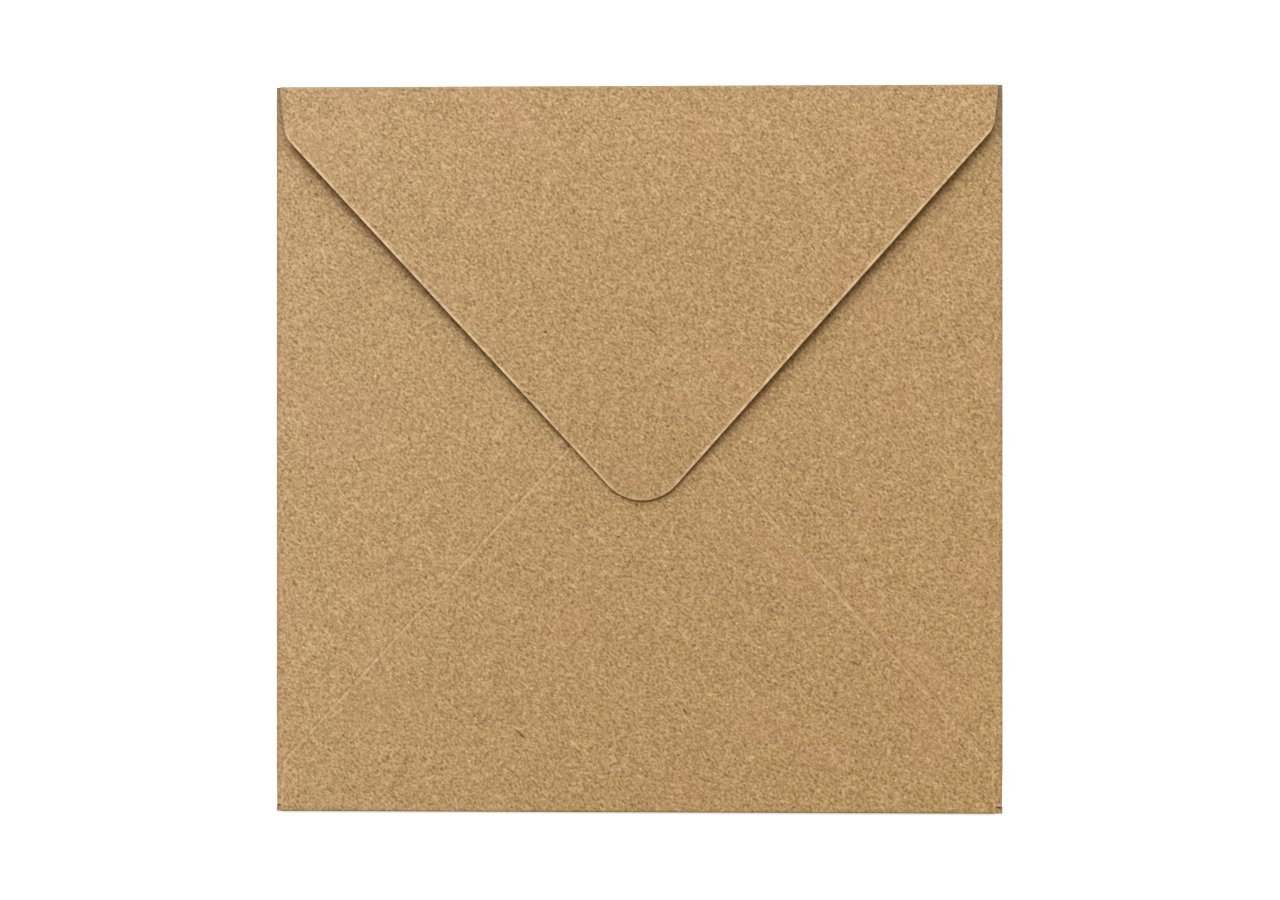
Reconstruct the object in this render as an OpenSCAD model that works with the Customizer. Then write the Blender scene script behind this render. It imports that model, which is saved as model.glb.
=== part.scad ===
// Square paper envelope, folded from one sheet and lying on its address panel.
// X runs across it, +Y points to the top fold and +Z points up. The origin is the
// middle of the face that it lies on.
// The two side flaps and the bottom flap make the pocket: the bottom flap is glued
// over the side flaps, along its two slanted edges. The top flap is folded shut over
// all three. It isn't stuck down, so it arches a little above them.

/* [Sheet] */
// Side of the square, from folded edge to folded edge
side = 155; // [145:1:165]
// Thickness of the paper
paper_t = 0.18; // [0.12:0.01:0.25]
// Space inside the pocket at the side folds
pocket_gap = 0.3; // [0.2:0.05:0.5]
// Angle at which the side flaps rise from their folds
rise_angle = 1; // [0.6:0.1:1.4]
// Space between the end of each fold and the folded edge next to it
fold_end_gap = 0.6; // [0.2:0.05:0.8]
// Width of the cut that parts the end of each fold from the flat corner beside it
corner_cut = 0.1; // [0.05:0.05:0.15]

/* [Rounded corners] */
// Radius that rounds the shoulder at each end of a flap
shoulder_r = 6; // [3:0.5:8]
// Radius that rounds the point of a flap
tip_r = 9.5; // [6:0.1:14]

/* [Top flap] */
// Depth of the top flap, from the folded edge to its rounded point
top_depth = 88.4; // [85:0.1:94]
// Depth of the top flap's shoulder, which runs nearly along the side edge
top_shoulder_depth = 10; // [9:0.1:13]
// How far the lower end of that shoulder stands in from the side edge
top_shoulder_inset = 2.1; // [1.6:0.1:2.8]
// Slack of the top fold round the ends of the side flaps, as it isn't pressed flat
top_slack = 1; // [0.4:0.05:1.2]
// Height of the top flap's arch above a straight line from its fold to its point
arch_h = 1; // [0.6:0.05:1.6]
// Height of the top flap's point above the bottom flap
tip_lift = 0.5; // [0.1:0.05:0.8]
// Angle by which the top flap is cut and folded askew
skew_angle = 0.55; // [0:0.05:0.8]
// How far the top flap stands to the left of the middle
top_shift = 0.2; // [0:0.05:0.3]

/* [Bottom flap] */
// Depth of the bottom flap, from the folded edge to its rounded point
bottom_depth = 89.4; // [85:0.1:94]
// Depth of the bottom flap's shoulder
bottom_shoulder_depth = 10.4; // [9:0.1:13]
// How far the upper end of that shoulder stands in from the side edge
bottom_shoulder_inset = 1.3; // [1.1:0.1:2.2]
// How far the glue presses the bottom flap into the side flaps
glue_press = 0.02; // [0.01:0.01:0.04]

/* [Side flaps] */
// Space between the points of the two side flaps, which the bottom flap covers
side_tip_gap = 6; // [3:0.5:12]
// Depth of a side flap's shoulder
side_shoulder_depth = 8; // [6:0.2:10]
// How far the end of that shoulder stands in from the folded edge beside it
side_shoulder_inset = 2; // [1.8:0.1:2.6]
// How far outside the seam a side flap starts to bend under the bottom flap
seam_lead = 0.5; // [0.3:0.1:1]

/* [Hidden] */

// Steps along a rounded corner, round a fold and along the arch
corner_steps = 16;
fold_steps = 24;
arch_steps = 32;
// Least space between the top flap and the point of the bottom flap
clear = 0.1;
// Room by which a cutting shape reaches past the sheet
over = 5;
half = side / 2;

// The outer radius of a side fold and of the top fold, which turns round the side
// flaps too
side_fold_r = pocket_gap / 2 + paper_t;
top_gap = pocket_gap + paper_t + side_shoulder_depth * tan(rise_angle) + top_slack;
top_fold_r = top_gap / 2 + paper_t;

// The line along which a side flap bends under the bottom flap, just outside the
// bottom flap's slanted edge: its slope, and its height where it meets the side edge
bottom_w = half - bottom_shoulder_inset;
bottom_apex = apex_depth(bottom_w, bottom_shoulder_depth, bottom_depth);
seam_slope = (bottom_apex - bottom_shoulder_depth) / bottom_w;
seam_start = bottom_shoulder_depth - bottom_shoulder_inset * seam_slope + seam_lead;

// The bottom flap rises so that it lies on both side flaps all along that line, and
// its glued face is the depth glued_d below its outer face
glued_d = paper_t - glue_press;
bottom_rise = atan(tan(rise_angle) / seam_slope);
bottom_fold_r = (side_fold_r * (1 + 1 / cos(rise_angle) - tan(rise_angle))
        + glued_d / cos(bottom_rise) - seam_start * tan(bottom_rise))
    / (1 + 1 / cos(bottom_rise) - tan(bottom_rise));

// How far the top and bottom folds would reach to each side if both were cut straight,
// and the angle at which the top flap's shoulder leans in
fold_w = half - side_fold_r - fold_end_gap;
shoulder_lean = atan((fold_w - half + top_shoulder_inset) / top_shoulder_depth);

// Where the flat corners of the panel start, above and below the side folds
corner_y = half - top_fold_r - fold_end_gap + corner_cut;

// The chord of the top flap's arch, from its fold to its point, which ends as high as
// the point lies or as the arch has to pass over the point of the bottom flap
chord = top_depth - top_fold_r;
chord_start = 2 * top_fold_r;
tip_level = face_level(bottom_fold_r, bottom_rise, 0, side - top_depth)
    + tip_lift + paper_t;
pass_level = face_level(bottom_fold_r, bottom_rise, 0, bottom_depth) + clear + paper_t;
pass = (side - bottom_depth - top_fold_r) / chord;
pass_end = (pass_level - (1 - pass) * (chord_start + 4 * arch_h * pass)) / pass;
chord_end = pass < 1 ? max(tip_level, pass_end) : tip_level;

// The arch: half the angle that it turns through, its radius, and the angle at which
// it leaves the fold
arch_half = 2 * atan(2 * arch_h / chord);
arch_r = chord / (2 * sin(arch_half));
arch_lift = atan((chord_end - chord_start) / chord) + arch_half;
arch_over = asin(over / arch_r);

// Height of a flat flap's face, at the depth d below its outer face and the distance
// y from the folded edge
function face_level(fold_r, rise, d, y) =
    fold_r + (fold_r - d) / cos(rise) + (y - fold_r) * tan(rise);

// How far the top fold reaches along the folded edge, as the flap is cut askew: to the
// left, where to is 1, and to the right, where it is -1
function top_fold_end(to) =
    fold_w * cos(skew_angle)
    + to * (top_shift + fold_w * sin(skew_angle) * tan(shoulder_lean + to * skew_angle));

// Depth at which a flap's slanted edges would meet. They start at a distance w from
// the flap's middle and at a depth d, and a circle of radius tip_r between them
// reaches the depth reach.
function apex_depth(w, d, reach) =
    let (
        e = reach - tip_r - d,
        k = 1 - pow(tip_r / w, 2)
    )
    d + (e + tip_r * sqrt(pow(e / w, 2) + k)) / k;

function unit(v) = v / norm(v);

function reversed(points) = [for (i = [len(points) - 1:-1:0]) points[i]];

// Points of an arc, without its first ones where a path has them already
function arc(centre, r, from, to, steps, first = 0) =
    [for (i = [first:steps])
        let (at = from + (to - from) * i / steps)
        centre + r * [cos(at), sin(at)]];

// The arc that rounds the corner p, between the points a and b
function round_corner(a, p, b, r) =
    let (
        u = unit(a - p),
        v = unit(b - p),
        slope = acos(u * v) / 2,
        centre = p + unit(u + v) * r / sin(slope),
        start = p + u * r / tan(slope) - centre,
        from = atan2(start[1], start[0]),
        sweep = (cross(u, v) > 0 ? -1 : 1) * (180 - 2 * slope)
    )
    arc(centre, r, from, from + sweep, corner_steps);

// Outline of a flap seen from above. Its folded edge lies along y = 0, and it hangs
// from there towards -y. fold_in and shoulder_in are how far each end of its fold and
// of its shoulder stand in. It runs on past the fold, so that it cuts that to length.
module flap_outline(fold_in, shoulder_in, shoulder_d, reach) {
    fold_w = half - fold_in;
    w = half - shoulder_in;
    over_w = fold_w + (fold_w - w) * over / shoulder_d;
    left = [-w, -shoulder_d];
    right = [w, -shoulder_d];
    point = [0, -apex_depth(w, shoulder_d, reach)];
    polygon(concat(
        [[over_w, over], [-over_w, over]],
        round_corner([-fold_w, 0], left, point, shoulder_r),
        round_corner(left, point, right, tip_r),
        round_corner(point, right, [fold_w, 0], shoulder_r)
    ));
}

// The sheet seen in section, across a fold: x = 0 is the folded edge, the envelope
// lies towards -x, and y is the height. d is the depth below the sheet's outer face.

// Points of a face of the sheet round a fold, until it leads away at the angle rise
function fold_face(fold_r, rise, d) =
    arc([-fold_r, fold_r], fold_r - d, -90, 90 - rise, fold_steps);

// The same, with some of the panel before the fold and a flat flap after it
function flat_face(fold_r, rise, d) = concat(
    [[-fold_r - over, d]],
    fold_face(fold_r, rise, d),
    [[-side, face_level(fold_r, rise, d, side)]]
);

// The same, with the arch after the fold, which it leaves without a kink
function arch_face(d) = concat(
    [[-top_fold_r - over, d]],
    fold_face(top_fold_r, arch_lift, d),
    arc([-top_fold_r, top_fold_r] + (top_fold_r - arch_r) * [sin(arch_lift), cos(arch_lift)],
        arch_r - d, 90 - arch_lift, 90 - arch_lift + 2 * arch_half + arch_over,
        arch_steps, 1)
);

// All that lies inside a face at the depth d of a side flap, down to the panel, and as
// far as the distance reach from the folded edge
module inside_side_flap(d, reach) {
    polygon(concat(
        [[-reach, d]],
        fold_face(side_fold_r, rise_angle, d),
        [[-reach, face_level(side_fold_r, rise_angle, d, reach)]]
    ));
}

// All that lies below a face at the depth d of the bottom flap, down to the height
// base, for the whole side
module below_bottom_flap(d, base) {
    polygon([
        [over, base],
        [over, face_level(bottom_fold_r, bottom_rise, d, -over)],
        [-side - over, face_level(bottom_fold_r, bottom_rise, d, side + over)],
        [-side - over, base]
    ]);
}

// Turns what is drawn at the top edge to another edge
module at_edge(turn) {
    rotate([0, 0, turn]) translate([0, half, 0]) children();
}

// Stretches a section along the whole of an edge
module along_edge(turn) {
    at_edge(turn)
        translate([-half, 0, 0])
            rotate([90, 0, 90])
                linear_extrude(height = side)
                    children();
}

// Stretches an outline upwards through all the layers
module through_all(turn) {
    at_edge(turn)
        translate([0, 0, -over])
            linear_extrude(height = 3 * over)
                children();
}

// A flat corner of the panel, at the upper left. It starts just past the end of the top
// or bottom fold, which is fold_end from the middle.
module flat_corner(fold_end) {
    translate([-half, corner_y, 0])
        cube([half - fold_end - corner_cut, half - corner_y, paper_t]);
}

// The panel, which the folds leave at their own lengths. Its four corners stay flat
// between them, out to the corners of the square.
module address_panel() {
    translate([side_fold_r - half, bottom_fold_r - half, 0])
        cube([side - 2 * side_fold_r, side - bottom_fold_r - top_fold_r, paper_t]);
    flat_corner(top_fold_end(1));
    mirror([1, 0, 0]) flat_corner(top_fold_end(-1));
    mirror([0, 1, 0]) flat_corner(fold_w);
    mirror([1, 0, 0]) mirror([0, 1, 0]) flat_corner(fold_w);
}

module top_flap() {
    intersection() {
        through_all(0)
            translate([-top_shift, 0])
                rotate([0, 0, skew_angle])
                    flap_outline(side_fold_r + fold_end_gap, top_shoulder_inset,
                        top_shoulder_depth, top_depth);
        along_edge(0)
            polygon(concat(arch_face(0), reversed(arch_face(paper_t))));
    }
}

module bottom_flap() {
    intersection() {
        through_all(180)
            flap_outline(side_fold_r + fold_end_gap, bottom_shoulder_inset,
                bottom_shoulder_depth, bottom_depth);
        along_edge(180)
            polygon(concat(
                flat_face(bottom_fold_r, bottom_rise, 0),
                reversed(flat_face(bottom_fold_r, bottom_rise, paper_t))
            ));
    }
}

// The left flap. It rises from its fold, and bends along the seam to lie against the
// underside of the bottom flap.
module side_flap() {
    intersection() {
        through_all(90)
            flap_outline(top_fold_r + fold_end_gap, side_shoulder_inset,
                side_shoulder_depth, half - side_tip_gap / 2);
        difference() {
            intersection() {
                along_edge(90) inside_side_flap(0, half);
                along_edge(180) below_bottom_flap(glued_d, 0);
            }
            intersection() {
                along_edge(90) inside_side_flap(paper_t, half + over);
                along_edge(180) below_bottom_flap(glued_d + paper_t, paper_t);
            }
        }
    }
}

module envelope() {
    color("tan") {
        address_panel();
        side_flap();
        mirror([1, 0, 0]) side_flap();
        bottom_flap();
        top_flap();
    }
}

envelope();
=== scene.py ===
import math

import bmesh
import bpy
from mathutils import Matrix, Vector


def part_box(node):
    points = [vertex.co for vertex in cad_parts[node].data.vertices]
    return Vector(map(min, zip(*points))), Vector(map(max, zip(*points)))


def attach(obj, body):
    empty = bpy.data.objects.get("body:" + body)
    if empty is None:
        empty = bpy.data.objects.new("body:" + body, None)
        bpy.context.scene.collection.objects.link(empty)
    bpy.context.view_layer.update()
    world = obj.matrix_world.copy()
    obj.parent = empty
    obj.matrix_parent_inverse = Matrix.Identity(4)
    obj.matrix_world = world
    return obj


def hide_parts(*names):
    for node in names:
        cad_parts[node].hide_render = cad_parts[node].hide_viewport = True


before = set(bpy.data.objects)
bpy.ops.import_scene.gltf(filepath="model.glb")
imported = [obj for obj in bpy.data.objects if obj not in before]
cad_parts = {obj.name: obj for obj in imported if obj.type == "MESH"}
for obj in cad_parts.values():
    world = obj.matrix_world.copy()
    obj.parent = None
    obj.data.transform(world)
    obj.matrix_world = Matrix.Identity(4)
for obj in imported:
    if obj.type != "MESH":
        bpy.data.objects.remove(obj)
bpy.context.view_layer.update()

# The side flaps
# Two of the four flaps of the sheet, cut out in one piece with the address panel and
# folded in over it first. Each rises a little from its fold, and bends along the seam
# so that it lies against the underside of the bottom flap that is glued over it.

MM = 0.001
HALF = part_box("envelope")[1].x
BLANK = 2 * HALF + 2 * MM
GRID = 4.25 * MM
NEAR = 1e-6
ON_PLANE = 1e-7
CUT_BAND = 0.75 * MM
SHOULDER_STEPS = 10
POINT_STEPS = 12
FOLD_STEPS = 18
SIDE_FOLD_R = 0.33 * MM
SIDE_RISE = math.radians(1)
BOTTOM_FOLD_R = 0.33443 * MM
BOTTOM_RISE = math.radians(0.91148)
GLUED_DEPTH = 0.16 * MM
CREASE_START = 9.474 * MM
CREASE_SLOPE = 1.09715
CREASE_HALF = 0.4 * MM


def to_object_mode():
    """Leaves edit mode, with nothing selected."""
    if bpy.context.object and bpy.context.object.mode != "OBJECT":
        bpy.ops.object.mode_set(mode="OBJECT")
    bpy.ops.object.select_all(action="DESELECT")


def lay_sheet(name, height, width):
    """Lays out a flat square of paper to cut a piece from, and starts to edit it."""
    to_object_mode()
    bpy.ops.mesh.primitive_plane_add(size=width, location=(0, 0, height))
    piece = bpy.context.object
    piece.name = name
    bpy.ops.object.transform_apply(location=True, rotation=True, scale=True)
    bpy.ops.object.mode_set(mode="EDIT")
    return piece


def choose(kind, test):
    """Selects the vertices, edges or faces whose middle passes the test."""
    bpy.ops.mesh.select_mode(type=kind)
    bpy.ops.mesh.select_all(action="DESELECT")
    mesh = bmesh.from_edit_mesh(bpy.context.object.data)
    for item in {"VERT": mesh.verts, "EDGE": mesh.edges, "FACE": mesh.faces}[kind]:
        corners = [item] if kind == "VERT" else item.verts
        middle = sum((v.co for v in corners), Vector()) / len(corners)
        item.select_set(bool(test(middle)))
    mesh.select_flush_mode()
    bmesh.update_edit_mesh(bpy.context.object.data)


def cut(place, across, clear=False):
    """Cuts what is selected along an upright plane, and clears what lies in front."""
    # The direction gets a length of 1, because bisect holds each part of it within 1.
    bpy.ops.mesh.bisect(
        plane_co=(*place, 0),
        plane_no=Vector((*across, 0)).normalized(),
        clear_outer=clear,
        threshold=ON_PLANE,
    )


def cut_all(place, across, clear=False):
    """Cuts the whole piece along an upright plane."""
    bpy.ops.mesh.select_all(action="SELECT")
    cut(place, across, clear)


def at_edge(turn, askew=0.0, shift=0.0):
    """Takes a flap's own places, across and in from its fold, to the sheet's."""
    middle = Vector((0, HALF))
    lean = Matrix.Rotation(askew, 2)
    spin = Matrix.Rotation(math.radians(turn), 2)

    def place(across, depth):
        return spin @ (middle + Vector((-shift, 0)) + lean @ Vector((across, -depth)))

    def facing(across, depth):
        return spin @ lean @ Vector((across, -depth))

    return place, facing


def cut_flap(at, fold_half, shoulder, depth, reach, shoulder_r, point_r):
    """Cuts the outline of a flap with straight cuts that go round its corners."""
    place, facing = at
    # The slanted edges touch the round of the point, and would meet at the apex.
    drop = reach - point_r - depth
    narrowing = 1 - (point_r / shoulder) ** 2
    steepness = math.sqrt((drop / shoulder) ** 2 + narrowing)
    apex = depth + (drop + point_r * steepness) / narrowing
    edge = Vector((depth, fold_half - shoulder)).normalized()
    slant = Vector((apex - depth, shoulder)).normalized()
    corner = Vector((shoulder, depth))
    middle = corner - (edge + slant) * shoulder_r / (1 + edge.dot(slant))
    first = math.atan2(edge.y, edge.x)
    last = math.atan2(slant.y, slant.x)
    cuts = [(corner, edge), (corner, slant)]
    for i in range(1, SHOULDER_STEPS):
        turned = first + (last - first) * i / SHOULDER_STEPS
        out = Vector((math.cos(turned), math.sin(turned)))
        cuts.append((middle + out * shoulder_r, out))
    for i in range(1, POINT_STEPS + 1):
        turned = last + (math.pi / 2 - last) * i / POINT_STEPS
        out = Vector((math.cos(turned), math.sin(turned)))
        cuts.append((Vector((0, reach - point_r)) + out * point_r, out))
    for spot, out in cuts:
        cut_all(place(spot.x, spot.y), facing(out.x, out.y), clear=True)
        cut_all(place(-spot.x, spot.y), facing(-out.x, out.y), clear=True)


def mark(name, weight):
    """Puts what is selected in a group of its own, with a weight."""
    bpy.context.object.vertex_groups.new(name=name)
    bpy.context.scene.tool_settings.vertex_group_weight = weight
    bpy.ops.object.vertex_group_assign()


def edge_band(paleness):
    """Draws a narrow band inside the cut edge, and marks the outer side of it."""
    bpy.ops.mesh.select_mode(type="FACE")
    bpy.ops.mesh.select_all(action="SELECT")
    bpy.ops.mesh.inset(thickness=CUT_BAND, use_boundary=True, use_even_offset=True)
    bpy.ops.mesh.select_mode(type="VERT")
    bpy.ops.mesh.select_all(action="SELECT")
    bpy.ops.mesh.region_to_loop()
    mark("outline", paleness)


def rule_across(spacing):
    """Divides a piece into small fields, so that it can be bent and can cockle."""
    count = int(HALF / spacing)
    for i in range(-count, count + 1):
        cut_all((i * spacing, 0), (1, 0))
        cut_all((0, i * spacing), (0, 1))


def roll_fold(pivot, axis, turn, on_fold):
    """Rolls the sheet round its fold, from the flap's end down to the panel."""
    choose("EDGE", on_fold)
    bpy.ops.mesh.mark_sharp()
    bpy.ops.mesh.spin(steps=FOLD_STEPS, angle=turn, center=pivot, axis=axis)
    bpy.ops.mesh.mark_sharp()
    bpy.ops.transform.resize(value=(1, 1, 0), center_override=(0, 0, 0))


def past_crease(p, side):
    """Says how far a place on a side flap lies beyond its crease, or short of it."""
    return p.y + HALF - (CREASE_START + CREASE_SLOPE * (HALF - side * p.x))


flaps = []
for name, side in (("left_flap", -1), ("right_flap", 1)):
    tangent = side * (HALF - SIDE_FOLD_R)
    top = SIDE_FOLD_R * (1 + math.cos(SIDE_RISE))
    flap = lay_sheet(name, top, BLANK)
    cut_flap(at_edge(-90 * side), fold_half=75.98 * MM, shoulder=75.5 * MM,
             depth=8 * MM, reach=74.5 * MM, shoulder_r=6 * MM, point_r=9.5 * MM)
    edge_band(paleness=0.5)
    start = tangent + side * SIDE_FOLD_R * math.sin(SIDE_RISE)
    cut_all((start, 0), (side, 0), clear=True)
    rule_across(GRID)
    for lead in (-CREASE_HALF, 0, CREASE_HALF):
        cut_all((side * HALF, -HALF + CREASE_START + lead), (-CREASE_SLOPE * side, -1))
    choose("VERT", lambda p: abs(past_crease(p, side)) < NEAR)
    mark("crease", 1.0)
    bpy.ops.mesh.select_all(action="SELECT")
    bpy.ops.transform.rotate(
        value=-side * SIDE_RISE, orient_axis="Y", orient_type="GLOBAL",
        center_override=(start, 0, top),
    )
    # Short of its crease the flap lies against the bottom flap that covers it.
    level = BOTTOM_FOLD_R + (BOTTOM_FOLD_R - GLUED_DEPTH) / math.cos(BOTTOM_RISE)
    base = Vector((0, BOTTOM_FOLD_R - HALF, level))
    out = Vector((0, -math.sin(BOTTOM_RISE), math.cos(BOTTOM_RISE)))
    choose("VERT", lambda p: past_crease(p, side) < 0)
    along = Vector((1, 0, 0))
    bpy.ops.transform.resize(
        value=(1, 1, 0), orient_type="GLOBAL",
        orient_matrix=(along, out.cross(along), out), orient_matrix_type="GLOBAL",
        constraint_axis=(False, False, True), center_override=base,
    )
    roll_fold((tangent, 0, SIDE_FOLD_R), (0, -side, 0), math.pi - SIDE_RISE,
              lambda p: abs(p.x - start) < NEAR)
    flaps.append(flap)

# The bottom flap
# Folded up over the side flaps and glued to them along its two slanted edges, which
# makes the pocket. It rises a little towards its point, as the side flaps do.

BOTTOM_SKEW = math.radians(-0.28)
BOTTOM_SHIFT = -0.3 * MM

tangent = BOTTOM_FOLD_R - HALF
top = BOTTOM_FOLD_R * (1 + math.cos(BOTTOM_RISE))
start = tangent - BOTTOM_FOLD_R * math.sin(BOTTOM_RISE)
bottom_flap = lay_sheet("bottom_flap", top, BLANK)
cut_flap(at_edge(180, BOTTOM_SKEW, BOTTOM_SHIFT), fold_half=76.3 * MM,
         shoulder=75.7 * MM, depth=10.4 * MM, reach=89.4 * MM, shoulder_r=6 * MM,
         point_r=9.5 * MM)
edge_band(paleness=0.38)
cut_all((0, start), (0, -1), clear=True)
rule_across(GRID)
bpy.ops.mesh.select_all(action="SELECT")
bpy.ops.transform.rotate(
    value=-BOTTOM_RISE, orient_axis="X", orient_type="GLOBAL",
    center_override=(0, start, top),
)
roll_fold((0, tangent, BOTTOM_FOLD_R), (-1, 0, 0), math.pi - BOTTOM_RISE,
          lambda p: abs(p.y - start) < NEAR)
flaps.append(bottom_flap)

# The top flap
# Folded shut over the other three, and not stuck down. It springs up in a low arch from
# its fold, which is rounder than the others, and its slanted edges stand clear of the
# layers under them. It was cut and folded about half a degree askew.

TOP_FOLD_R = 0.98982 * MM
TOP_SKEW = math.radians(0.6)
TOP_SHIFT = -0.04 * MM
TOP_REACH = 88.4 * MM
TOP_POINT_LEVEL = 2.34 * MM
TOP_ARCH = 0.87 * MM
ARCH_POWER = 4
TOP_TWIST = (-2.05 * MM, 1.75 * MM)
TWIST_POWER = 3
TOP_ROWS = 32

tangent = HALF - TOP_FOLD_R
length = TOP_REACH - TOP_FOLD_R
arch_start = 2 * ARCH_POWER * TOP_ARCH
lift = math.atan((TOP_POINT_LEVEL - 2 * TOP_FOLD_R + arch_start) / length)
top = TOP_FOLD_R * (1 + math.cos(lift))
start = tangent + TOP_FOLD_R * math.sin(lift)
top_flap = lay_sheet("top_flap", 0, BLANK)
cut_flap(at_edge(0, TOP_SKEW, TOP_SHIFT), fold_half=76.57 * MM, shoulder=75.4 * MM,
         depth=10.1 * MM, reach=TOP_REACH, shoulder_r=6 * MM, point_r=9.7 * MM)
edge_band(paleness=1.0)
cut_all((0, start), (0, 1), clear=True)
rule_across(GRID)
to_object_mode()

# A lattice with a spare row beyond each end gives the flap its arch and its twist.
bpy.ops.object.add(type="LATTICE", location=(0, start - length / 2, 0))
spring = bpy.context.object
spring.scale = (2 * HALF + 4 * MM, length * (TOP_ROWS + 2) / TOP_ROWS, MM)
spring.data.points_u = 2
spring.data.points_v = TOP_ROWS + 3
spring.data.points_w = 2
spring.data.interpolation_type_v = "KEY_CATMULL_ROM"
for number, point in enumerate(spring.data.points):
    row = number // 2 % (TOP_ROWS + 3)
    t = (TOP_ROWS + 1 - row) / TOP_ROWS
    arch = TOP_ARCH * (1 - abs(2 * t - 1) ** ARCH_POWER)
    twist = TOP_TWIST[number % 2] * max(0, t) ** TWIST_POWER
    rise = top + (TOP_POINT_LEVEL - top) * t + arch + twist
    point.co_deform.z += rise / MM
bpy.ops.object.select_all(action="DESELECT")
bpy.context.view_layer.objects.active = top_flap
top_flap.select_set(True)
shaped = top_flap.modifiers.new("spring", "LATTICE")
shaped.object = spring
bpy.ops.object.modifier_apply(modifier="spring")
bpy.data.objects.remove(spring)
bpy.ops.object.mode_set(mode="EDIT")
roll_fold((0, tangent, TOP_FOLD_R), (1, 0, 0), math.pi - lift,
          lambda p: abs(p.y - start) < NEAR)
flaps.append(top_flap)

# The address panel
# The middle of the sheet, and the face that the envelope lies on. Each flap joins it
# at its fold. A small square of it stays flat at each corner, between two folds.

PAPER = 0.18 * MM
TOP_CORNERS = (-76.61 * MM, 76.52 * MM)
BOTTOM_CORNERS = (-76.69 * MM, 76.08 * MM)
CORNER_Y = 76.01 * MM
SMOOTH_ANGLE = math.radians(35)
COCKLE = 0.2 * MM
COCKLE_LENGTH = 34 * MM
COCKLE_INSET = 3 * MM
COCKLE_GROWTH = 14 * MM


def in_corner(p):
    """Says whether a place is in one of the squares that stay flat."""
    left_end, right_end = TOP_CORNERS if p.y > 0 else BOTTOM_CORNERS
    return abs(p.y) > CORNER_Y and not left_end < p.x < right_end


panel = lay_sheet("address_panel", 0, 2 * HALF)
right = HALF - SIDE_FOLD_R
front, back = BOTTOM_FOLD_R - HALF, HALF - TOP_FOLD_R
for x in (-right, 0, right):
    cut_all((x, 0), (1, 0))
for y in (-CORNER_Y, front, 0, back, CORNER_Y):
    cut_all((0, y), (0, 1))
for ends, side in ((TOP_CORNERS, 1), (BOTTOM_CORNERS, -1)):
    for x in ends:
        choose("FACE", lambda p: p.y * side > 0)
        cut((x, 0), (1, 0))
choose("FACE", lambda p: (
    abs(p.x) > right or not front < p.y < back) and not in_corner(p))
bpy.ops.mesh.delete(type="FACE")
for flap, axis, side in zip(flaps, (1, 1, 0, 0), (-1, 1, -1, 1)):
    joined = (v.co for v in flap.data.vertices if abs(v.co.z) < ON_PLANE)
    for place in sorted({round(p[axis], 8) for p in joined}):
        choose("FACE", lambda p: p[1 - axis] * side > 0)
        cut((place, 0) if axis == 0 else (0, place), (1, 0) if axis == 0 else (0, 1))
to_object_mode()

for piece in (*flaps, panel):
    piece.select_set(True)
bpy.context.view_layer.objects.active = panel
bpy.ops.object.join()
sheet = bpy.context.object
sheet.name = "folded_sheet"
bpy.ops.object.mode_set(mode="EDIT")
bpy.ops.mesh.select_all(action="SELECT")
bpy.ops.mesh.remove_doubles(threshold=NEAR)
bpy.ops.mesh.normals_make_consistent(inside=False)
choose("EDGE", lambda p: abs(p.z) < ON_PLANE and (
    min(abs(abs(p.x) - right), abs(p.y - front), abs(p.y - back)) < NEAR))
bpy.ops.mesh.mark_sharp()
to_object_mode()
lowest = min(sheet.data.polygons, key=lambda face: face.center.length)
if lowest.normal.z > 0:
    sheet.data.flip_normals()

cockling = sheet.vertex_groups.new(name="cockling")
for v in sheet.data.vertices:
    inside = min(HALF - abs(v.co.x), HALF - abs(v.co.y)) - COCKLE_INSET
    share = min(1, max(0, inside / COCKLE_GROWTH))
    if v.co.z > PAPER:
        cockling.add([v.index], share * share * (3 - 2 * share), "REPLACE")
waves = bpy.data.textures.new("cockle", "CLOUDS")
waves.noise_scale = COCKLE_LENGTH
waves.noise_depth = 1

sheet.select_set(True)
bpy.context.view_layer.objects.active = sheet
cockle = sheet.modifiers.new("cockle", "DISPLACE")
cockle.texture = waves
cockle.texture_coords = "LOCAL"
cockle.direction = "Z"
cockle.mid_level = 0.7
cockle.strength = COCKLE
cockle.vertex_group = "cockling"
paper = sheet.modifiers.new("paper", "SOLIDIFY")
paper.thickness = PAPER
paper.offset = -1
paper.use_even_offset = True
for step in ("cockle", "paper"):
    bpy.ops.object.modifier_apply(modifier=step)
bpy.ops.object.shade_smooth_by_angle(angle=SMOOTH_ANGLE, keep_sharp_edges=True)

# The material reads the two marks as attributes.
for name, read_as in (("outline", "cut_edge"), ("crease", "seam_crease")):
    group = sheet.vertex_groups[name].index
    marked = sheet.data.attributes.new(read_as, "FLOAT", "POINT")
    for v in sheet.data.vertices:
        marked.data[v.index].value = sum(g.weight for g in v.groups if g.group == group)

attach(sheet, "root")
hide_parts("envelope")

# Recycled kraft paper
# The paper is pressed from brown and pale fibres with some dark flecks among them. It
# is mottled and matt, and a little paler along its cut edges, partly as a painted
# highlight. Painted shade darkens its folds, creases and top corners, and drifts
# slowly across the sheet.

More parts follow.
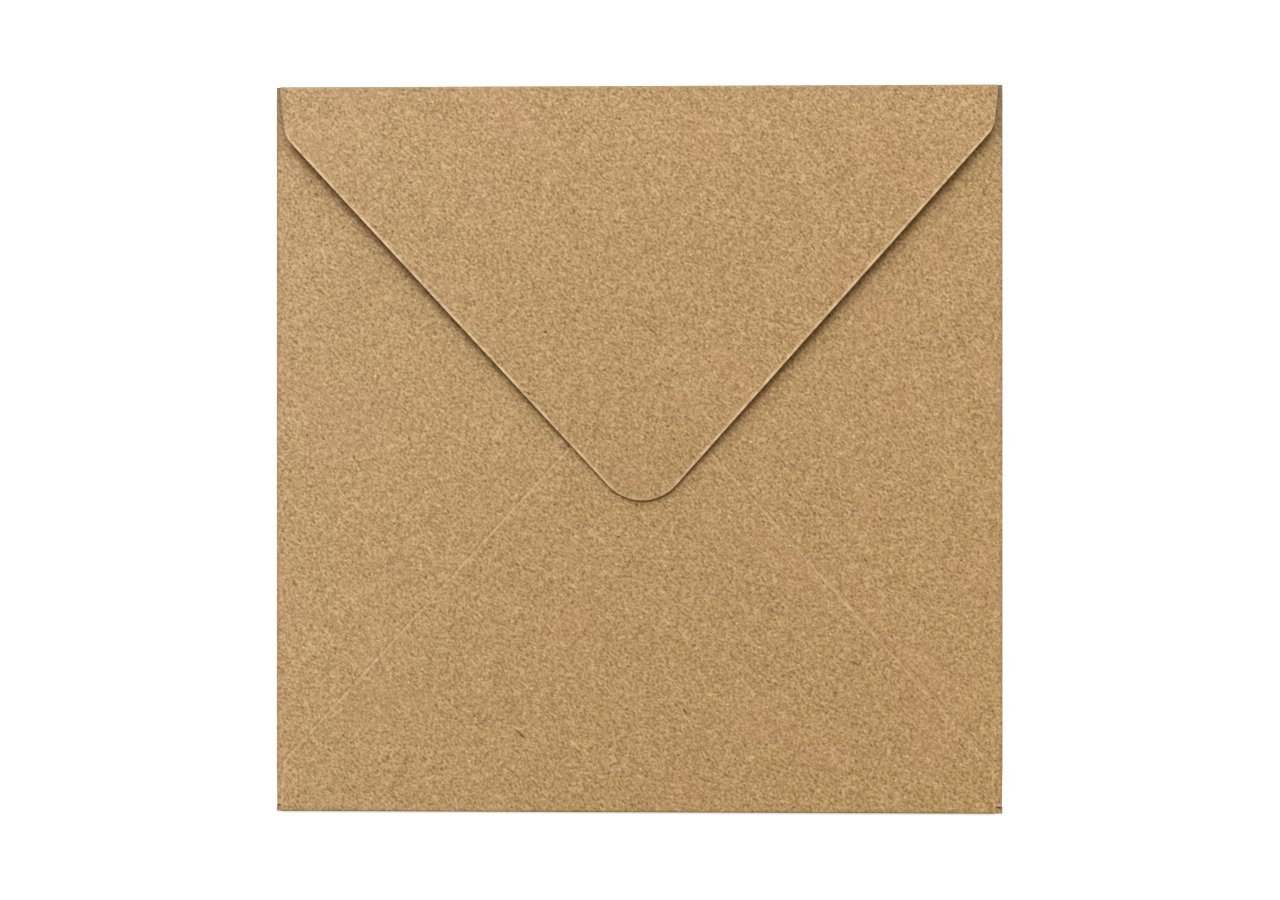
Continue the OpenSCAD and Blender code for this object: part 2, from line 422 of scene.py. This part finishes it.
DARK_PULP = (0.285, 0.155, 0.052, 1)
PULP = (0.555, 0.363, 0.178, 1)
PALE_PULP = (0.823, 0.58, 0.328, 1)
FLECK_BROWN = (0.13, 0.062, 0.02, 1)
# The cut edges' colour is partly pale open fibres and partly a painted highlight.
CUT_PULP_AND_HIGHLIGHT = (0.95, 0.69, 0.41, 1)
PALE_FIBRE = (0.92, 0.72, 0.4, 1)
WARM_PULP = (0.62, 0.33, 0.19, 1)
# This dark colour is painted shade, laid on the folds, creases and top corners.
PAINTED_SHADE_PULP = (0.20, 0.135, 0.075, 1)
CUT_STRENGTH = 0.7
FOLD_STRENGTH = 0.2
TOP_FOLD_STRENGTH = 0.35
CORNER_STRENGTH = 0.4
CREASE_STRENGTH = 0.35
WARM_STRENGTH = 0.18
LARGEST_STRENGTH = 0.8
RELIEF = 0.02 * MM
# The next four tones are painted shade across the sheet.
SHADE_RIGHT = (0.942, 0.905, 0.81, 1)
SHADE_FRONT = (0.98, 0.96, 0.87, 1)
SHADE_MIDDLE = (0.955, 0.945, 0.91, 1)
SHADE_BACK = (0.95, 0.945, 0.94, 1)
OFF_PLANE = (math.radians(37), math.radians(28), 0)

# These are in millimetres, as all of the paper's patterns are.
EDGE = HALF / MM
SHADE_BACK_WIDE = 11
BACK_CLEAR = (8, 12)
POINT_PLACE = (1, -16, 2)
POINT_CLEAR = (8, 12)
# Where the painted shade lies along the folds, the top fold and the two top corners.
FOLD_SHADE = (1.1, 0.1)
BACK_SHADE = (1.5, 0.2)
CORNER_SHADE_ACROSS = (2.6, 0.6)
CORNER_SHADE_ALONG = (18, 8)


def add_node(tree, kind, place, **settings):
    """Adds a node at a place in the tree, with its settings and its sockets' values."""
    node = tree.nodes.new(kind)
    node.location = (place[0] * 200, place[1] * -180)
    for name, value in settings.items():
        if name.startswith("in_"):
            node.inputs[int(name[3:])].default_value = value
        else:
            setattr(node, name, value)
    return node


def start_group(name, inputs, outputs):
    """Starts a node group with named inputs, with their values, and outputs."""
    group = bpy.data.node_groups.new(name, "ShaderNodeTree")
    for title, kind, value in inputs:
        socket = group.interface.new_socket(title, in_out="INPUT", socket_type=kind)
        if value is not None:
            socket.default_value = value
    for title, kind in outputs:
        group.interface.new_socket(title, in_out="OUTPUT", socket_type=kind)
    return group, group.nodes.new("NodeGroupInput"), group.nodes.new("NodeGroupOutput")


fibres, given, made = start_group(
    "Pulp fibres",
    (("Place", "NodeSocketVector", None), ("Spacing", "NodeSocketFloat", 3.0),
     ("Width", "NodeSocketFloat", 0.03), ("Share", "NodeSocketFloat", 0.5)),
    (("Fibres", "NodeSocketFloat"),),
)
tilted = add_node(fibres, "ShaderNodeMapping", (-1, 0), in_2=OFF_PLANE)
close = add_node(fibres, "ShaderNodeMath", (0, 0), operation="DIVIDE", in_0=1.0)
curls = add_node(fibres, "ShaderNodeTexNoise", (1, 0), in_3=0.0, in_8=0.6)
middle = add_node(fibres, "ShaderNodeMath", (2, 0), operation="SUBTRACT", in_1=0.5)
off = add_node(fibres, "ShaderNodeMath", (3, 0), operation="ABSOLUTE")
line = add_node(fibres, "ShaderNodeMapRange", (4, 0), interpolation_type="SMOOTHSTEP",
                in_3=1.0, in_4=0.0)
lengths = add_node(fibres, "ShaderNodeTexNoise", (1, 2), in_3=0.0)
ends = add_node(fibres, "ShaderNodeMapRange", (3, 2), interpolation_type="SMOOTHSTEP")
over = add_node(fibres, "ShaderNodeMath", (2, 3), operation="ADD", in_1=0.06)
broken = add_node(fibres, "ShaderNodeMath", (5, 0), operation="MULTIPLY")
apart = add_node(fibres, "ShaderNodeVectorMath", (0, 2), operation="ADD",
                 in_1=(37.0, 11.0, 5.0))
for a, b in (
    (given.outputs["Spacing"], close.inputs[1]),
    (given.outputs["Place"], tilted.inputs["Vector"]),
    (tilted.outputs[0], curls.inputs["Vector"]),
    (close.outputs[0], curls.inputs["Scale"]),
    (curls.outputs["Fac"], middle.inputs[0]),
    (middle.outputs[0], off.inputs[0]),
    (off.outputs[0], line.inputs[0]),
    (given.outputs["Width"], line.inputs[2]),
    (tilted.outputs[0], apart.inputs[0]),
    (apart.outputs[0], lengths.inputs["Vector"]),
    (close.outputs[0], lengths.inputs["Scale"]),
    (lengths.outputs["Fac"], ends.inputs[0]),
    (given.outputs["Share"], ends.inputs[1]),
    (given.outputs["Share"], over.inputs[0]),
    (over.outputs[0], ends.inputs[2]),
    (line.outputs[0], broken.inputs[0]),
    (ends.outputs[0], broken.inputs[1]),
    (broken.outputs[0], made.inputs["Fibres"]),
):
    fibres.links.new(a, b)

flecks, given, made = start_group(
    "Dark flecks",
    (("Place", "NodeSocketVector", None), ("Spacing", "NodeSocketFloat", 4.0),
     ("Size", "NodeSocketFloat", 0.1), ("Share", "NodeSocketFloat", 0.5)),
    (("Flecks", "NodeSocketFloat"),),
)
close = add_node(flecks, "ShaderNodeMath", (0, 0), operation="DIVIDE", in_0=1.0)
dots = add_node(flecks, "ShaderNodeTexVoronoi", (1, 0))
parts = add_node(flecks, "ShaderNodeSeparateColor", (2, 1))
chosen = add_node(flecks, "ShaderNodeMath", (3, 1), operation="LESS_THAN")
grown = add_node(flecks, "ShaderNodeMath", (3, 2), operation="MULTIPLY")
half_grown = add_node(flecks, "ShaderNodeMath", (4, 2), operation="MULTIPLY", in_1=0.4)
fleck = add_node(flecks, "ShaderNodeMapRange", (5, 0), interpolation_type="SMOOTHSTEP",
                 in_3=1.0, in_4=0.0)
kept = add_node(flecks, "ShaderNodeMath", (6, 0), operation="MULTIPLY")
for a, b in (
    (given.outputs["Spacing"], close.inputs[1]),
    (given.outputs["Place"], dots.inputs["Vector"]),
    (close.outputs[0], dots.inputs["Scale"]),
    (dots.outputs["Color"], parts.inputs[0]),
    (parts.outputs["Red"], chosen.inputs[0]),
    (given.outputs["Share"], chosen.inputs[1]),
    (parts.outputs["Green"], grown.inputs[0]),
    (given.outputs["Size"], grown.inputs[1]),
    (grown.outputs[0], half_grown.inputs[0]),
    (dots.outputs["Distance"], fleck.inputs[0]),
    (half_grown.outputs[0], fleck.inputs[1]),
    (grown.outputs[0], fleck.inputs[2]),
    (fleck.outputs[0], kept.inputs[0]),
    (chosen.outputs[0], kept.inputs[1]),
    (kept.outputs[0], made.inputs["Flecks"]),
):
    flecks.links.new(a, b)

GRAIN_TURN = math.radians(-45)
GRAIN_STRETCH = 1.5

kraft = bpy.data.materials.new("recycled_kraft")
kraft.use_nodes = True
tree = kraft.node_tree
link = tree.links.new
surface = tree.nodes["Principled BSDF"]
surface.inputs["Specular IOR Level"].default_value = 0.2
where = add_node(tree, "ShaderNodeTexCoord", (-12, 0))
in_mm = add_node(tree, "ShaderNodeMapping", (-11, 0), in_3=(1000, 1000, 1000))
combed = add_node(tree, "ShaderNodeMapping", (-10, 0), vector_type="TEXTURE",
                  in_2=(0, 0, GRAIN_TURN), in_3=(GRAIN_STRETCH, 1, 1))
tilted = add_node(tree, "ShaderNodeMapping", (-10, 1), in_2=OFF_PLANE)
link(where.outputs["Object"], in_mm.inputs["Vector"])
link(in_mm.outputs[0], combed.inputs["Vector"])
link(combed.outputs[0], tilted.inputs["Vector"])


def combine(place, operation, first, second=None):
    """Works out one value from another, or from two others."""
    node = add_node(tree, "ShaderNodeMath", place, operation=operation)
    link(first, node.inputs[0])
    if second is not None:
        link(second, node.inputs[1])
    return node.outputs[0]


def grade(place, source, limits, ends=(0.0, 1.0), kind="SMOOTHSTEP"):
    """Grades a value between two limits, from one end to the other."""
    node = add_node(tree, "ShaderNodeMapRange", place, interpolation_type=kind,
                    in_1=limits[0], in_2=limits[1], in_3=ends[0], in_4=ends[1])
    link(source, node.inputs[0])
    return node.outputs[0]


def mottle(place, scale, gain, before=None):
    """Adds a layer of soft mottling to the shade of the pulp."""
    noise = add_node(tree, "ShaderNodeTexNoise", place, in_2=scale, in_3=0.0)
    link(tilted.outputs[0], noise.inputs["Vector"])
    add = add_node(tree, "ShaderNodeMath", (place[0] + 1, place[1]),
                   operation="MULTIPLY_ADD", in_1=gain, in_2=-0.5 * gain)
    link(noise.outputs["Fac"], add.inputs[0])
    if before is None:
        add.inputs[2].default_value = 0.5 - 0.5 * gain
        return add
    both = add_node(tree, "ShaderNodeMath", (place[0] + 2, place[1]), operation="ADD")
    link(before.outputs[0], both.inputs[0])
    link(add.outputs[0], both.inputs[1])
    return both


shade = mottle((-9, 0), scale=2.3, gain=1.1)
shade = mottle((-9, 1), scale=1.4, gain=0.2, before=shade)
shade = mottle((-9, 2), scale=0.12, gain=0.06, before=shade)
pulp = add_node(tree, "ShaderNodeValToRGB", (-3, 0))
ramp = pulp.color_ramp
ramp.elements[0].color = DARK_PULP
ramp.elements[1].color = PALE_PULP
ramp.elements.new(0.5).color = PULP
link(shade.outputs[0], pulp.inputs[0])


def lay_in(place, mask, strength, colour, before):
    """Mixes a colour into the paper where the mask says."""
    share = add_node(tree, "ShaderNodeMath", (place[0], place[1] + 1),
                     operation="MULTIPLY", in_1=strength)
    blend = add_node(tree, "ShaderNodeMix", place, data_type="RGBA", in_7=colour)
    link(mask, share.inputs[0])
    link(share.outputs[0], blend.inputs[0])
    link(before, blend.inputs[6])
    return blend.outputs[2]


def scatter(place, group, origin, turn, stretch, values):
    """Places one of the paper's groups, moved, turned and stretched."""
    moved = add_node(tree, "ShaderNodeMapping", (place[0] - 1, place[1]),
                     vector_type="TEXTURE", in_1=origin,
                     in_2=(0, 0, math.radians(turn)), in_3=(stretch, 1, 1))
    laid = add_node(tree, "ShaderNodeGroup", place, node_tree=group)
    for name, value in values.items():
        laid.inputs[name].default_value = value
    link(in_mm.outputs[0], moved.inputs["Vector"])
    link(moved.outputs[0], laid.inputs["Place"])
    return laid.outputs[0]


# Painted shade makes the paper slowly darker and browner towards the right, the front,
# the middle and the top fold.
axes = add_node(tree, "ShaderNodeSeparateXYZ", (-4, 5))
link(in_mm.outputs[0], axes.inputs[0])
across, along = axes.outputs["X"], axes.outputs["Y"]
outward = combine((-4, 7), "MULTIPLY", across, across)
colour = pulp.outputs[0]
for n, (place, near, far, tone) in enumerate((
    (across, -EDGE, EDGE, SHADE_RIGHT),
    (along, EDGE, -EDGE, SHADE_FRONT),
    (outward, EDGE ** 2, 0, SHADE_MIDDLE),
    (along, EDGE - SHADE_BACK_WIDE, EDGE, SHADE_BACK),
)):
    shade_mix = add_node(tree, "ShaderNodeMix", (-2, 5 + n), data_type="RGBA",
                     blend_type="MULTIPLY", in_7=tone)
    link(grade((-3, 5 + n), place, (near, far), kind="LINEAR"), shade_mix.inputs[0])
    link(colour, shade_mix.inputs[6])
    colour = shade_mix.outputs[2]
patchy = add_node(tree, "ShaderNodeTexNoise", (-3, 9), in_2=0.07, in_3=1.0)
link(tilted.outputs[0], patchy.inputs["Vector"])
warm = grade((-2, 9), patchy.outputs["Fac"], (0.5, 0.72))
colour = lay_in((-1, 5), warm, WARM_STRENGTH, WARM_PULP, colour)

# Fibres lie mostly along the grain, and the flecks among them are of several sizes.
for n, (origin, turn, stretch, spacing, width, share, tone, strength) in enumerate((
    ((0, 0, 0), -45, 1.8, 1.0, 0.06, 0.52, PALE_PULP, 0.5),
    ((50, 20, 7), -50, 1.8, 0.9, 0.06, 0.54, DARK_PULP, 0.45),
    ((90, 70, 3), -20, 1.5, 1.3, 0.05, 0.56, PALE_PULP, 0.5),
    ((20, 90, 5), 30, 1.3, 1.4, 0.05, 0.58, DARK_PULP, 0.35),
)):
    laid = scatter((-2 + 2 * n, 3), fibres, origin, turn, stretch,
                   {"Spacing": spacing, "Width": width, "Share": share})
    colour = lay_in((-1 + 2 * n, 0), laid, strength, tone, colour)
for n, (origin, turn, stretch, spacing, size, share, tone, strength) in enumerate((
    ((5, 3, 0), -45, 1.8, 2.0, 0.13, 0.5, FLECK_BROWN, 0.5),
    ((33, 61, 4), -62, 2.0, 3.7, 0.09, 0.35, FLECK_BROWN, 0.8),
    ((71, 12, 9), 20, 1.2, 4.4, 0.07, 0.5, FLECK_BROWN, 0.8),
    ((15, 43, 2), -45, 1.3, 1.0, 0.38, 0.55, FLECK_BROWN, 0.55),
    ((47, 8, 6), -30, 1.3, 1.0, 0.32, 0.4, PALE_FIBRE, 0.6),
)):
    laid = scatter((6 + 2 * n, 3), flecks, origin, turn, stretch,
                   {"Spacing": spacing, "Size": size, "Share": share})
    colour = lay_in((7 + 2 * n, 0), laid, strength, tone, colour)

# The dozen largest flecks lie where they do in the photograph, a 1280 x 900 frame.
SHEET_MIDDLE = (639.25, 449.2)
SHEET_WIDE = 726.5
DOT = 2 * HALF / MM / SHEET_WIDE
wander = add_node(tree, "ShaderNodeTexNoise", (6, 7), in_2=1.6, in_3=2.0)
frayed = add_node(tree, "ShaderNodeMix", (7, 7), data_type="RGBA",
                  blend_type="LINEAR_LIGHT", clamp_factor=False, in_0=0.35)
link(in_mm.outputs[0], wander.inputs["Vector"])
link(in_mm.outputs[0], frayed.inputs[6])
link(wander.outputs["Color"], frayed.inputs[7])
largest = None
for n, (x, y, long, wide, turn, level) in enumerate((
    (521, 734, 15, 2.2, -46, 0.93),
    (855, 662, 10, 2.3, -33, 1.17),
    (686, 711, 6, 2.7, -44, 1.0),
    (710, 781, 5, 2.7, -20, 0.77),
    (294, 584, 4.5, 2.6, -40, 0.72),
    (547, 332, 6, 2.3, -34, 3.1),
    (610, 773, 5, 2.3, 66, 0.8),
    (814, 249, 9, 2, -65, 3.0),
    (437, 706, 5, 2.4, -50, 1.02),
    (984, 195, 6, 2, -45, 0.72),
    (638, 505, 4, 2.6, 0, 1.7),
    (795, 806, 4, 2.4, 10, 0.66),
)):
    spot = ((x - SHEET_MIDDLE[0]) * DOT, (SHEET_MIDDLE[1] - y) * DOT, level)
    near = add_node(tree, "ShaderNodeMapping", (8, 7 + n), vector_type="TEXTURE",
                    in_1=spot, in_2=(0, 0, math.radians(turn)),
                    in_3=(long * DOT / 2, wide * DOT / 2, 0.7))
    away = add_node(tree, "ShaderNodeVectorMath", (9, 7 + n), operation="LENGTH")
    link(frayed.outputs[2], near.inputs["Vector"])
    link(near.outputs[0], away.inputs[0])
    fleck = grade((10, 7 + n), away.outputs["Value"], (0.5, 1.15), (1.0, 0.0))
    if largest is None:
        largest = fleck
    else:
        largest = combine((11, 7 + n), "MAXIMUM", largest, fleck)
colour = lay_in((13, 0), largest, LARGEST_STRENGTH, FLECK_BROWN, colour)


def from_edge(place, source, depths, **more):
    """Grades the paper from one depth inside its edge or fold to another."""
    return grade(place, source, (EDGE - depths[0], EDGE - depths[1]), **more)


# Cut edges are paler in patches, partly where the fibres stand open and partly as a
# painted highlight along the edge, but not beside the top fold, and less so round
# the point of the top flap.
cut_side = add_node(tree, "ShaderNodeAttribute", (12, 2), attribute_name="cut_edge")
uneven = add_node(tree, "ShaderNodeTexNoise", (12, 3), in_2=0.45, in_3=1.0)
link(in_mm.outputs[0], uneven.inputs["Vector"])
from_point = add_node(tree, "ShaderNodeVectorMath", (13, 5), operation="DISTANCE",
                      in_1=POINT_PLACE)
link(in_mm.outputs[0], from_point.inputs[0])
band = grade((13, 2), cut_side.outputs["Fac"], (0.0, 0.6))
patches = grade((13, 3), uneven.outputs["Fac"], (0.38, 0.6), (0.4, 1.0), kind="LINEAR")
ahead = from_edge((13, 4), along, BACK_CLEAR, ends=(0.1, 1.0), kind="LINEAR")
behind = grade((14, 4), from_point.outputs["Value"], POINT_CLEAR, (0.3, 1.0),
               kind="LINEAR")
open_fibres_and_highlight = combine((14, 2), "MULTIPLY", band, patches)
slanted = combine((15, 4), "MINIMUM", ahead, behind)
pale_edge_and_highlight = combine((15, 2), "MULTIPLY", open_fibres_and_highlight, slanted)
colour = lay_in((15, 0), pale_edge_and_highlight, CUT_STRENGTH, CUT_PULP_AND_HIGHLIGHT, colour)

# Painted shade darkens the folds, the two corners at the top fold and the creases.
out_x = combine((13, 6), "ABSOLUTE", across)
out_y = combine((13, 7), "ABSOLUTE", along)
furthest = combine((14, 6), "MAXIMUM", out_x, out_y)
fold_shade = from_edge((15, 6), furthest, FOLD_SHADE)
at_back = from_edge((15, 7), along, BACK_SHADE)
at_side = from_edge((16, 6), out_x, CORNER_SHADE_ACROSS)
near_back = from_edge((16, 7), along, CORNER_SHADE_ALONG)
corner_shade = combine((17, 6), "MULTIPLY", at_side, near_back)
crease = add_node(tree, "ShaderNodeAttribute", (16, 3), attribute_name="seam_crease")
for n, (mask, strength) in enumerate((
    (corner_shade, CORNER_STRENGTH),
    (crease.outputs["Fac"], CREASE_STRENGTH),
    (fold_shade, FOLD_STRENGTH),
    (at_back, TOP_FOLD_STRENGTH),
)):
    colour = lay_in((16 + n, 0), mask, strength, PAINTED_SHADE_PULP, colour)
link(colour, surface.inputs["Base Color"])

relief = add_node(tree, "ShaderNodeBump", (19, 4), in_0=0.6, in_1=RELIEF)
link(shade.outputs[0], relief.inputs["Height"])
link(relief.outputs[0], surface.inputs["Normal"])
matt = grade((19, 3), shade.outputs[0], (0.0, 1.0), (0.92, 0.8), kind="LINEAR")
link(matt, surface.inputs["Roughness"])
sheet.data.materials.clear()
sheet.data.materials.append(kraft)

# Floor
# A plain pale table top that the envelope lies on. It takes soft shadows, and it is
# white in the picture, as the background of the photograph is.

FLOOR_WIDE = 6
FLOOR_DROP = 0.02 * MM
FLOOR_PALE = (0.85, 0.85, 0.85, 1)
FLOOR_GLOW = 0.6
WHITE = (1, 1, 1, 1)


def seen_ray(tree):
    """Adds nodes that pick out what the camera sees, also in gloss or through glass."""
    path = add_node(tree, "ShaderNodeLightPath", (-5, 0))
    mirrored = add_node(tree, "ShaderNodeMath", (-4, 0), operation="MAXIMUM")
    either = add_node(tree, "ShaderNodeMath", (-3, 0), operation="MAXIMUM")
    tree.links.new(path.outputs["Is Glossy Ray"], mirrored.inputs[0])
    tree.links.new(path.outputs["Is Transmission Ray"], mirrored.inputs[1])
    tree.links.new(path.outputs["Is Camera Ray"], either.inputs[0])
    tree.links.new(mirrored.outputs[0], either.inputs[1])
    return either.outputs[0]


to_object_mode()
bpy.ops.mesh.primitive_plane_add(size=FLOOR_WIDE, location=(0, 0, -FLOOR_DROP))
floor = bpy.context.object
floor.name = "floor"
white = bpy.data.materials.new("white_floor")
white.use_nodes = True
ftree = white.node_tree
fsurface = ftree.nodes["Principled BSDF"]
fsurface.inputs["Base Color"].default_value = FLOOR_PALE
fsurface.inputs["Roughness"].default_value = 0.9
fsurface.inputs["Emission Color"].default_value = WHITE
glow = add_node(ftree, "ShaderNodeMath", (-2, 0), operation="MULTIPLY", in_1=FLOOR_GLOW)
ftree.links.new(seen_ray(ftree), glow.inputs[0])
ftree.links.new(glow.outputs[0], fsurface.inputs["Emission Strength"])
floor.data.materials.append(white)

# Light
# One large soft lamp stands beyond the top fold, a little to the left, 36 degrees above
# the table. An even warm light comes from all round.

KEY_TOWARDS = (-0.087, 0.996)
KEY_HEIGHT = math.radians(36)
KEY_DISTANCE = 3.5
KEY_WIDTH = 3.0
KEY_POWER = 194.0
KEY_COLOUR = (0.85, 0.91, 1.0)
AROUND = 0.272
AROUND_COLOUR = (1.0, 0.82, 0.55, 1)

flat = math.cos(KEY_HEIGHT) * KEY_DISTANCE
lamp_place = Vector((KEY_TOWARDS[0] * flat, KEY_TOWARDS[1] * flat,
                     math.sin(KEY_HEIGHT) * KEY_DISTANCE))
to_object_mode()
bpy.ops.object.light_add(type="AREA", location=lamp_place)
key = bpy.context.object
key.name = "key_lamp"
key.data.shape = "SQUARE"
key.data.size = KEY_WIDTH
key.data.energy = KEY_POWER
key.data.color = KEY_COLOUR
key.rotation_euler = (-lamp_place).to_track_quat("-Z", "Y").to_euler()

world = bpy.data.worlds.new("pale_room")
bpy.context.scene.world = world
world.use_nodes = True
wtree = world.node_tree
wtree.nodes.clear()
out = add_node(wtree, "ShaderNodeOutputWorld", (3, 0))
room = add_node(wtree, "ShaderNodeBackground", (1, 0), in_0=AROUND_COLOUR, in_1=AROUND)
backdrop = add_node(wtree, "ShaderNodeBackground", (1, 1), in_0=WHITE, in_1=1.0)
pick = add_node(wtree, "ShaderNodeMixShader", (2, 0))
wtree.links.new(seen_ray(wtree), pick.inputs[0])
wtree.links.new(room.outputs[0], pick.inputs[1])
wtree.links.new(backdrop.outputs[0], pick.inputs[2])
wtree.links.new(pick.outputs[0], out.inputs[0])

# Camera
# It looks down on the flap side from 0.6 m, and leans about one and three quarter
# degrees to the right, as in the photograph. Its frame is 1280 x 900.

PHOTO_WIDE, PHOTO_HIGH = 1280, 900
ENVELOPE_MIDDLE = (638.2, 449.2)
ENVELOPE_WIDE = 725.9
CAMERA_UP = 0.6
CAMERA_LEAN = math.radians(1.77)
SENSOR = 36.0

pixel = 2 * HALF / ENVELOPE_WIDE
aim = Vector(((PHOTO_WIDE / 2 - ENVELOPE_MIDDLE[0]) * pixel,
              (ENVELOPE_MIDDLE[1] - PHOTO_HIGH / 2) * pixel, 0))
to_object_mode()
bpy.ops.object.camera_add(location=aim + Vector((
    math.sin(CAMERA_LEAN), 0, math.cos(CAMERA_LEAN))) * CAMERA_UP)
camera = bpy.context.object
camera.name = "camera"
camera.rotation_euler = (0, CAMERA_LEAN, 0)
camera.data.sensor_width = SENSOR
camera.data.lens = SENSOR * CAMERA_UP / (PHOTO_WIDE * pixel)
camera.data.clip_start = 0.01
bpy.context.scene.camera = camera
bpy.context.scene.view_settings.view_transform = "Standard"
